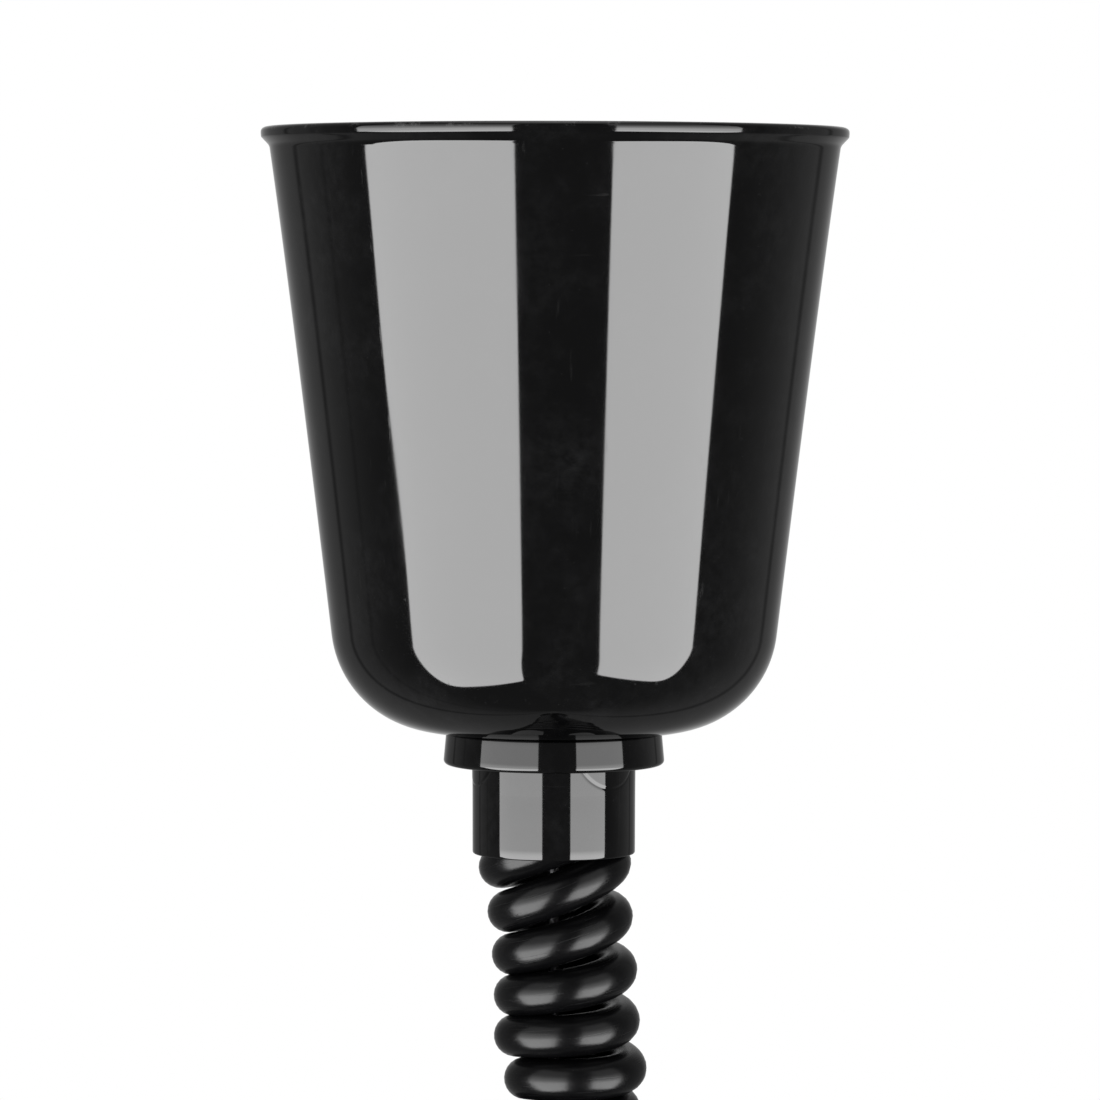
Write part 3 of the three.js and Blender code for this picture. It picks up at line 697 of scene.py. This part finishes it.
# ---- collars
def collar_rows():
    """The collar's outline from the web's underside out round the flange; z is 0 at its flat face."""
    end, under = -COLLAR_LENGTH, -FLANGE_HEIGHT
    root, lip, edge, fillet, rounding = 0.6, 0.3, 0.4, 0.25, 0.35  # radii of the collar's edges
    flare_start, flare_end = (BORE + 0.05, end + 4), (BORE + 0.5, end + lip)
    sleeve_foot = (SLEEVE - 0.05, end + edge)
    below_pads = (SLEEVE - 0.03, under - PAD_RADIUS + PAD_RISE - 1.0)
    rows = [(0, -WEB), (BORE - 2 * root, -WEB)] + arc((BORE - root, -WEB - root), root, 90, 0, 3)
    rows += straight((BORE, -WEB - root), flare_start, 6)
    rows += straight(flare_start, flare_end, 4)
    rows += arc((BORE + 0.8, end + lip), lip, 180, 270, 3)
    rows += bow((SLEEVE - edge, end), (SLEEVE - 0.07, end), sleeve_foot, 6)
    rows += straight(sleeve_foot, below_pads, 8)[1:]
    rows += straight(below_pads, (SLEEVE, under - fillet), 48)
    rows += bow((SLEEVE, under - fillet), (SLEEVE, under), (SLEEVE + fillet, under), 4)
    rows += straight((SLEEVE + fillet, under), (FLANGE_BOTTOM - FLANGE_EDGE, under), 4)[1:]
    rows += arc((FLANGE_BOTTOM - FLANGE_EDGE, under + FLANGE_EDGE), FLANGE_EDGE, -90, 0, 10)
    rows += straight((FLANGE_BOTTOM, under + FLANGE_EDGE), (FLANGE_TOP, -rounding), 6)[1:]
    rows += bow((FLANGE_TOP, -rounding), (FLANGE_TOP, 0), (FLANGE_TOP - rounding, 0), 3)
    return rows + [(0, 0)]


def pad_height(angle, z):
    """How far a pad stands out of the sleeve at this place, with a fine crease round it."""
    edge, groove, groove_width = 0.5, 0.05, 0.22
    height = 0.0
    for centre in PAD_ANGLES:
        swing = (angle - centre + math.pi) % TAU - math.pi
        inward = PAD_RADIUS - math.hypot(swing * SLEEVE, z - (PAD_RISE - FLANGE_HEIGHT))
        t = share(inward / edge)
        height += PAD_PROUD * t * t * (3 - 2 * t) - groove * math.exp(-((inward / groove_width) ** 2))
    return height


def with_pads(radius, angle, z):
    """A rule for reshape: adds the pads to the sleeve's outside."""
    low, high = -FLANGE_HEIGHT - PAD_RADIUS - 1, -FLANGE_HEIGHT - 0.05
    on_sleeve = low < z < high and abs(radius - SLEEVE) < 0.2
    return radius + pad_height(angle, z) if on_sleeve else radius


def collar(name, flat_face, flipped, body, node, holes):
    smooth_below = 35
    obj = turned(name, collar_rows(), 480, None, smooth_below)
    reshape(obj, with_pads)
    for radius, y in holes:
        combine(obj, rod(radius, -WEB - 1, 1, 0, y))
    turn = Matrix.Rotation(math.pi, 4, "X") if flipped else Matrix.Identity(4)
    move_to(obj, Matrix.Translation((0, 0, flat_face)) @ turn)
    shade(obj, smooth_below)
    finish_as(obj, "gloss_black", body, [node])


collar("upper_collar", COLLAR_TOP, False, "canopy_cup", "collar", CANOPY_HOLES)
collar("lamp_collar", LOWER_FACE, True, "lamp_end", "lower_collar", [(5.3, 0)])

# ---- the flex above the coil
CLAMP_Y = 29.85  # the flex's axis in its clamp
FLEX_END = -29
CORE_RADIUS, CORE_SIDES = 1.05, 16
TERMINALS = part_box("terminal_block")
BLOCK_BOTTOM = TERMINALS[0].z / MM
ENTRY_Y = TERMINALS[0].y / MM + 5
POLE_PITCH = 8.5

tail_route = smooth_route(
    [
        TAIL_END,
        (0, HOLE_Y, -103),
        (0, HOLE_Y, -98.7),
        (0, 12.6, -91),
        (0, 16.4, -82),
        (0, 17, -70),
        (0, 18.5, -58),
        (0, 24, -50),
        (0, 29, -43.5),
        (0, CLAMP_Y, -38),
        (0, CLAMP_Y, -33),
        (0, CLAMP_Y, FLEX_END),
    ],
    8,
)
tail = tube("flex_straight_end", tail_route, STRAIGHT_THINNING * CORD_RADIUS, CORD_SIDES)
add_lay(tail, CORD_SIDES, tail_route)
finish_as(tail, "black_flex", "ceiling_unit", ["flex_tail"])

CORES = (("live", "core_brown"), ("earth", "core_green_yellow"), ("neutral", "core_blue"))
for side, (core, slot) in enumerate(CORES, start=-1):
    core_route = smooth_route(
        [
            (1.6 * side, CLAMP_Y - 0.5 * abs(side), FLEX_END - 0.6),
            (2.8 * side, CLAMP_Y + 0.2, FLEX_END + 2),
            (0.9 * POLE_PITCH * side, ENTRY_Y, BLOCK_BOTTOM - 2.6),
            (POLE_PITCH * side, ENTRY_Y, BLOCK_BOTTOM),
            (POLE_PITCH * side, ENTRY_Y, BLOCK_BOTTOM + 4),
        ],
        10,
    )
    wire = tube("wire_" + core, core_route, CORE_RADIUS, CORE_SIDES)
    add_lay(wire, CORE_SIDES, core_route)
    finish_as(wire, slot, "ceiling_unit", ["core_" + core])


# ---- screws, nuts and the hook
def thread(pitch, major, deepest):
    """A rule for reshape: cuts a thread into what stands at the major radius."""

    def radius_at(radius, angle, z):
        if abs(radius - major) > 0.01:
            return radius
        wave = abs(2 * ((z / pitch - angle / TAU) % 1) - 1)
        return major - deepest * wave

    return radius_at


def slotted_screw(name, head, height, shank, length):
    """A cheese-head screw along +Z: its head's outer face at z = 0, its shank down to -length.

    The head and shank are given by their radii.
    """
    slot, edge = 0.7, 0.12
    dome = height * 0.16
    outline = [(0, -length), (0.55 * shank, -length)]
    outline += straight((shank, -length + 0.5 * shank), (shank, -height - 0.1), int(length * 9))
    outline += [(shank * 0.86, -height), (head - edge, -height)]
    outline += bow((head - edge, -height), (head, -height), (head, -height + edge), 3)[1:]
    outline += bow((head, -dome - 0.25), (head, -dome), (0.82 * head, -dome * 0.55), 5)
    outline += bow((0.82 * head, -dome * 0.55), (0.4 * head, 0), (0, 0), 5)[1:]
    obj = turned(name, outline, 48, None, 35)
    reshape(obj, thread(0.5 if shank < 2 else 0.8, shank, 0.14 * shank))
    combine(obj, box(-head - 1, head + 1, -slot / 2, slot / 2, -0.5 * height, 1))
    shade(obj, 35)
    return obj


def hexagon_nut(name, across, height, bore, pitch):
    """A nut from z = 0 up to its height, both ends chamfered at 30 degrees, with a threaded bore.

    It is turned at a radius as wide as the nut is across its flats, and then cut back to the hexagon.
    """
    sink, smooth_below = 0.35, 25
    near_end = (0, 0.2, 0.4, 0.6, 0.8)
    outer = [*near_end, height / 2, *(height - z for z in reversed(near_end))]
    outline = [(bore + sink, 0)] + [(across, z) for z in outer] + [(bore + sink, height)]
    outline += straight((bore, height - sink), (bore, sink), 20) + [(bore, sink)]
    obj = turned(name, outline, 96, None, smooth_below)
    cut = thread(pitch, bore, -0.3 * pitch)

    def radius_at(radius, angle, z):
        if radius < across - 0.01:
            return cut(radius, angle, z)
        from_flat = (angle + math.pi / 6) % (math.pi / 3) - math.pi / 6
        flank = across / 2 / math.cos(from_flat)
        chamfer = 0.475 * across + min(z, height - z) / math.tan(math.pi / 6)
        return min(flank, chamfer)

    reshape(obj, radius_at)
    shade(obj, smooth_below)
    return obj


FACING = {  # turns that point a piece's +Z another way
    "+Y": Matrix.Rotation(-math.pi / 2, 4, "X"),
    "-Y": Matrix.Rotation(math.pi / 2, 4, "X"),
    "-Z": Matrix.Rotation(math.pi, 4, "X"),
}


def fasten(node, name, facing, slot_name, **sizes):
    """A slotted screw in place of a CAD node, its slot turned a little from one screw to the next."""
    low, high = (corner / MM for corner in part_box(node))
    at = (low + high) / 2
    if facing == "-Z":
        at.z = low.z
    else:
        at.y = high.y if facing == "+Y" else low.y
    turn = Matrix.Rotation(at.x * 0.7 + at.z * 1.3, 4, "Z")
    screw = slotted_screw(name, **sizes)
    move_to(screw, Matrix.Translation(at) @ FACING[facing] @ turn)
    finish_as(screw, slot_name, "ceiling_unit", [node])


for number in range(1, 7):
    fasten("terminal_screw_%d" % number, "clamping_screw_%d" % number, "+Y", "brass",
           head=2, height=1.4, shank=1.5, length=3.2)
for side in ("left", "right"):
    fasten("clamp_screw_" + side, "saddle_screw_" + side, "+Y", "zinc_steel",
           head=2.2, height=1.4, shank=1.2, length=6)
for number in range(1, 4):
    fasten("reel_screw_%d" % number, "housing_screw_%d" % number, "-Y", "zinc_steel",
           head=2.4, height=1.5, shank=1.2, length=14)
fasten("earth_screw", "earthing_screw", "-Z", "brass", head=3, height=1.9, shank=1.5, length=3.6)

weld_nut = hexagon_nut("welded_nut", across=10, height=5, bore=2.6, pitch=0.8)
move_to(weld_nut, Matrix.Translation((0, 0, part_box("weld_nut")[0].z / MM)))
finish_as(weld_nut, "zinc_steel", "ceiling_unit", ["weld_nut"])

lock_nut = hexagon_nut("arbor_nut", across=9, height=3.4, bore=2.6, pitch=0.8)
lock_nut_at = (REEL.x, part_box("arbor_lock_nut")[0].y / MM, REEL.z)
move_to(lock_nut, Matrix.Translation(lock_nut_at) @ FACING["+Y"])
finish_as(lock_nut, "zinc_steel", "ceiling_unit", ["arbor_lock_nut"])

lamp_nut = hexagon_nut("lamp_end_nut", across=14, height=3.4, bore=5.15, pitch=1.0)
move_to(lamp_nut, Matrix.Translation((0, 0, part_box("lower_nut")[0].z / MM)))
finish_as(lamp_nut, "brass", "lamp_end", ["lower_nut"])


def arbor():
    """The tension shaft about +Z: a slotted round head on top, a threaded tail below."""
    head_top, head_bottom = -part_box("tension_arbor")[0].y / MM, 12.3
    tail_end = -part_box("tension_arbor")[1].y / MM
    head, shaft, slot = 4.5, 2.5, 1.2
    relief, plain, thread_end = shaft - 0.35, shaft - 0.02, -11.5
    outline = [(0, tail_end), (shaft - 0.6, tail_end)]
    outline += straight((shaft, tail_end + 0.6), (shaft, thread_end), 50)
    outline += [(relief, thread_end + 0.3), (relief, -10.6), (plain, -10.3), (plain, head_bottom)]
    outline += bow((head - 0.2, head_bottom), (head, head_bottom), (head, head_bottom + 0.2), 3)
    outline += bow((head, head_top - 0.8), (head, head_top), (head - 0.8, head_top), 6)
    obj = turned("tension_shaft", outline + [(0, head_top)], 64, None, 35)
    reshape(obj, thread(0.8, shaft, 0.36))
    combine(obj, box(-6, 6, -slot / 2, slot / 2, head_top - 1.5, head_top + 1))
    move_to(obj, Matrix.Translation((REEL.x, 0, REEL.z)) @ FACING["-Y"])
    shade(obj, 35)
    finish_as(obj, "zinc_steel", "arbor", ["tension_arbor"])


def hook():
    """The wire hook that the reel hangs on, with a rounded tip."""
    wire_radius = 1.75
    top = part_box("hook")[1].z / MM
    hook_route = smooth_route(
        [
            (0, 0, top),
            (0, 0, -6.5),
            (0, 1.4, -8.8),
            (0, 4.9, -11.4),
            (0, 6, -15),
            (0, 4.2, -19.2),
            (0, 0, -21),
            (0, -4.2, -19.2),
            (0, -6, -15),
            (0, -5.4, -12.2),
        ],
        16,
    )
    length = sum((b - a).length for a, b in zip(hook_route, hook_route[1:]))

    def rounded(along, around):
        left = length - along
        return 1 if left > 1 else max(0.12, math.sqrt(1 - (1 - left) ** 2))

    wire = tube("hook_wire", hook_route, wire_radius, 32, rounded)
    finish_as(wire, "zinc_steel", "ceiling_unit", ["hook"])


def threaded_outlet():
    """The hollow threaded tube that a lamp is fastened to, with a flat round head inside the collar."""
    low, high = (corner.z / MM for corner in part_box("lower_nipple"))
    bore, outer, head = 3.6, 5, 7
    foot = high - 1.5
    relief, rounding = 0.4, 0.3
    outline = [(bore, low), (outer - 0.65, low)]
    outline += straight((outer, low + 0.7), (outer, foot - 0.3), 150)
    outline += [(outer - relief, foot - 0.2), (outer - relief, foot)]
    outline += bow((head - 0.2, foot), (head, foot), (head, foot + 0.2), 3)
    outline += bow((head, high - rounding), (head, high), (head - rounding, high), 3)
    outline += [(bore + rounding, high), (bore, high - rounding)]
    obj = turned("threaded_outlet", outline, 72, None, 35)
    reshape(obj, thread(1.0, outer, 0.5))
    shade(obj, 35)
    finish_as(obj, "brass", "lamp_end", ["lower_nipple"])


arbor()
hook()
threaded_outlet()


def ring(name, node, slot, body, inner, outer, edge=0.18):
    """A washer or short sleeve with rounded edges, as tall as the CAD node it stands for."""
    low, high = (corner.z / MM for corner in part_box(node))
    corners = [(inner, low), (outer, low), (outer, high), (inner, high)]
    finish_as(turned(name, filleted(corners, edge), 72), slot, body, [node])


ring("round_washer", "lower_washer", "zinc_steel", "lamp_end", inner=5.3, outer=8)
ring("brass_bush", "rope_nipple", "brass", "ceiling_unit", inner=1.5, outer=4, edge=0.3)


# ---- reel housing
def reel_half(name, node, side):
    """One half of the reel's housing, made in its own frame: +Z points out of this half, along Y."""
    half_width, half_cavity, rim_radius, cavity = 12, 10, 21.5, 19.5
    split = 0.15  # of this half from the plane between the two
    lug_z, lug_radius, lug_hole, lug_thickness = -22.4, 6.6, 4, 2
    panel_low, spoke_end = half_width - 0.6, 18
    neck_radius, neck_foot, outlet_top = 5, -CANOPY_DEPTH + WALL + 0.3, -86
    boss_radius, boss_height, screw_hole, head_hole = 3.2, 7, 1.5, 2.7
    far = 60
    place = Matrix.Translation(REEL) @ FACING["-Y" if side < 0 else "+Y"]
    back = place.inverted()
    outline = [(0, split), (rim_radius, split)]
    outline += straight((rim_radius, split), (rim_radius, half_width - 1), 3)[1:]
    outline += arc((rim_radius - 1, half_width - 1), 1, 0, 90, 6)
    outline += bow((17.6, half_width), (17.2, half_width), (17, panel_low), 4)  # down into a sunk panel
    outline += bow((8.4, panel_low), (8.2, half_width), (7.8, half_width), 4)  # and up to the middle
    outline += [(0, half_width)]
    obj = turned(name, outline, 128, None, 35)
    for spoke in range(6):
        turn = Matrix.Rotation(TAU * spoke / 6 + 0.26, 4, "Z")
        rib = box(7.5, spoke_end, -0.6, 0.6, half_width - 1.2, half_width - 0.12, turn)
        combine(obj, rib, "UNION")
    lug = [(-lug_radius, REEL.z + 10), (lug_radius, REEL.z + 10)]
    lug += arc((0, lug_z), lug_radius, 0, 180, 28)
    # draws an outline in X and Z, with its thickness towards -Y
    upright = Matrix(((1, 0, 0, 0), (0, 0, -1, 0), (0, 1, 0, 0), (0, 0, 0, 1)))
    thick = (split, lug_thickness) if side < 0 else (-lug_thickness, -split)
    combine(obj, plate("lug", lug, *thick, back @ upright), "UNION")
    neck = rod(neck_radius, neck_foot, REEL.z - 14, 0, 0, back)
    other_half = (-far, split) if side > 0 else (-split, far)
    combine(neck, box(-far, far, *other_half, -200, 200, back))
    combine(obj, neck, "UNION")
    bosses = []
    for degrees in (90, 200, 320):
        angle = math.radians(degrees)
        x, z = (rim_radius + 1) * math.cos(angle), (rim_radius + 1) * math.sin(angle)
        bosses.append(back @ Vector((REEL.x + x, 0, REEL.z + z)))
    for boss in bosses:
        combine(obj, rod(boss_radius, split, boss_height, boss.x, boss.y, None, 40), "UNION")
    combine(obj, rod(cavity, -1, half_cavity, 0, 0, None, 128))
    combine(obj, rod(2.8, -1, 20, 0, 0, None, 48))  # for the arbor
    for boss in bosses:
        combine(obj, rod(screw_hole, -1, 10, boss.x, boss.y, None, 32))
        combine(obj, rod(head_hole, boss_height + 0.001, 14, boss.x, boss.y, None, 40))
    combine(obj, rod(lug_hole, -10, 10, 0, lug_z, back @ upright, 48))
    combine(obj, rod(1.8, outlet_top - 1, REEL.z, 0, 0, back, 32))  # for the rope
    combine(obj, rod(4.3, neck_foot - 1, outlet_top, 0, 0, back, 48))  # for the brass bush
    move_to(obj, place)
    shade(obj, 32)
    finish_as(obj, "grey_nylon", "ceiling_unit", [node])


reel_half("reel_cover_front", "reel_housing_front", -1)
reel_half("reel_cover_back", "reel_housing_back", 1)

# ---- world and lights
BACKGROUND = 1.0  # what the camera sees past the object
STRIP_LIGHT, OVERHEAD_LIGHT = 5.2, 0.45
SECOND_BOUNCE = 0.75  # of the strips' light is left out of a reflection's reflection
DIFFUSE_DIMMING = 0.45  # of the studio's light is kept off matt surfaces


def build_world():
    """A studio round the object, painted by direction, in degrees: azimuth 0 is towards -Y."""
    world = bpy.data.worlds.new("studio")
    bpy.context.scene.world = world
    world.use_nodes = True
    n = Nodes(world.node_tree)
    n.tree.nodes.clear()
    maths = n.maths

    def step(value, low, high, out_low=0.0, out_high=1.0):
        return n.ramp(value, low, high, out_low, out_high, "SMOOTHSTEP")

    direction = n.split(n.node("ShaderNodeTexCoord").outputs["Generated"])
    front = maths("MULTIPLY", direction["Y"], -1.0)
    azimuth = maths("MULTIPLY", maths("ARCTAN2", direction["X"], front), 180 / math.pi)
    height = maths("MULTIPLY", maths("ARCSINE", direction["Z"]), 180 / math.pi)

    def band(centre, half_width, depth):
        """1 away from this azimuth, dipping to 1 - depth at it."""
        offset = maths("ABSOLUTE", maths("SUBTRACT", azimuth, centre))
        return step(offset, 0.0, half_width, 1.0 - depth, 1.0)

    def panel(outer, outer_high, inner, bottom, middle):
        """A soft box between two azimuths, with round lower corners.

        Its outer edge swings out to outer_high near the horizon, and its inner edge is drawn in lower
        down. Its foot is level and lies the angle bottom under the horizon, seen at the azimuth middle.
        """
        toe_height, toe_in = -16.0, 0.12
        top, soft, corner_size, inner_corner = 50, 0.45, 14.0, 3.0
        side = 1.0 if inner > 0 else -1.0
        swing = maths("MULTIPLY", azimuth, side)
        below = maths("MAXIMUM", maths("SUBTRACT", toe_height, height), 0.0)
        drawn_in = maths("MULTIPLY", below, toe_in)
        from_inner = maths("SUBTRACT", maths("SUBTRACT", swing, drawn_in), abs(inner))
        from_outer = maths("SUBTRACT", step(height, -14, -11.5, abs(outer), abs(outer_high)), swing)
        turn = math.radians(middle)
        across = maths("MULTIPLY", direction["X"], math.sin(turn))
        ahead = maths("ADD", across, maths("MULTIPLY", front, math.cos(turn)))
        lift = maths("ADD", direction["Z"], maths("MULTIPLY", ahead, math.tan(math.radians(bottom))))
        from_foot = maths("MULTIPLY", lift, math.degrees(math.cos(math.radians(bottom))))
        corner = maths("SMOOTH_MIN", from_outer, from_foot, corner_size)
        inside = maths("SMOOTH_MIN", from_inner, corner, inner_corner)
        return maths("MULTIPLY", step(inside, -soft, soft), step(height, top + 6, top - 6))

    left = panel(outer=-79.0, outer_high=-82.9, inner=-16.4, bottom=53.5, middle=-48)
    right = panel(outer=77.1, outer_high=77.1, inner=23.4, bottom=46.5, middle=55)
    strips = maths("ADD", left, right)
    for low, high, dimmer in ((-12, -4, 0.57), (-4, 4, 0.64), (4, 25, 0.3)):
        strips = maths("MULTIPLY", strips, step(height, low, high, 1.0, dimmer))
    strips = maths("MULTIPLY", strips, STRIP_LIGHT)
    path = n.node("ShaderNodeLightPath").outputs
    twice = maths("GREATER_THAN", path["Glossy Depth"], 1.5)
    strips = maths("MULTIPLY", strips, maths("SUBTRACT", 1.0, maths("MULTIPLY", twice, SECOND_BOUNCE)))

    wall_front, wall_behind = 0.07, 0.165
    spread = maths("ABSOLUTE", azimuth)
    walls = step(spread, 80, 140, wall_front, wall_behind)
    lines = maths("MULTIPLY", band(-130, 3.5, 0.55), band(136, 4, 0.5))
    lines = maths("MULTIPLY", lines, band(-109, 2.5, 0.22))
    walls = maths("MULTIPLY", walls, lines)

    glow_start, glow_light, glow_power = 138.0, 0.5, 2.2
    nearness = maths("DIVIDE", maths("SUBTRACT", spread, glow_start), 180 - glow_start)
    glow = maths("POWER", maths("MAXIMUM", nearness, 0.0), glow_power)
    behind = maths("MULTIPLY", maths("MULTIPLY", glow, glow_light), step(height, -38, -9))
    overhead = maths("MULTIPLY", step(height, 56, 78), OVERHEAD_LIGHT)
    room = maths("ADD", maths("ADD", walls, behind), overhead)
    seen = maths("MAXIMUM", strips, room)
    dimmed = maths("SUBTRACT", 1.0, maths("MULTIPLY", path["Is Diffuse Ray"], DIFFUSE_DIMMING))

    def background(strength):
        made = n.node("ShaderNodeBackground", Color=(1, 1, 1, 1))
        n.link(strength, made.inputs["Strength"])
        return made.outputs["Background"]

    chooser = n.node("ShaderNodeMixShader")
    n.link(path["Is Camera Ray"], chooser.inputs["Fac"])
    n.link(background(maths("MULTIPLY", seen, dimmed)), chooser.inputs[1])
    n.link(background(BACKGROUND), chooser.inputs[2])
    n.link(chooser.outputs["Shader"], n.node("ShaderNodeOutputWorld").inputs["Surface"])


build_world()
bpy.context.scene.view_settings.view_transform = "Standard"


def add_floor():
    """The pale floor, at room height under the object, which hangs from a ceiling."""
    half_size, level = 3.0 / MM, -2.5 / MM
    corners = [(x * half_size, y * half_size, level) for x, y in ((-1, -1), (1, -1), (1, 1), (-1, 1))]
    pale, shadowed = (0.86, 0.86, 0.86), (0.83, 0.83, 0.83)
    floor = piece("floor", corners, [(0, 1, 2, 3)])
    s = Shader("pale_floor", pale, 0.9)
    s.colour(s.mix(s.ramp(s.noise(3, 3), 0.3, 0.7), pale, shadowed))
    s.set("Emission Color", (1, 1, 1, 1))
    s.set("Emission Strength", 0.62)
    floor.data.materials.append(s.material)
    floor.visible_glossy = False


add_floor()

# ---- remaining CAD nodes
SLOT_OF = {row["node"]: row["material_slot"] for row in frame["record"]["subparts"]}
for name, obj in frame["nodes"].items():
    if obj.hide_render:
        continue
    obj.data.materials.clear()
    obj.data.materials.append(LOOKS[SLOT_OF[name]])
    shade(obj, 30)
    bevel = obj.modifiers.new("edge", "BEVEL")
    bevel.width = 0.15 * MM
    bevel.segments = 2
    bevel.limit_method = "ANGLE"
    bevel.angle_limit = math.radians(50)
    bevel.harden_normals = True
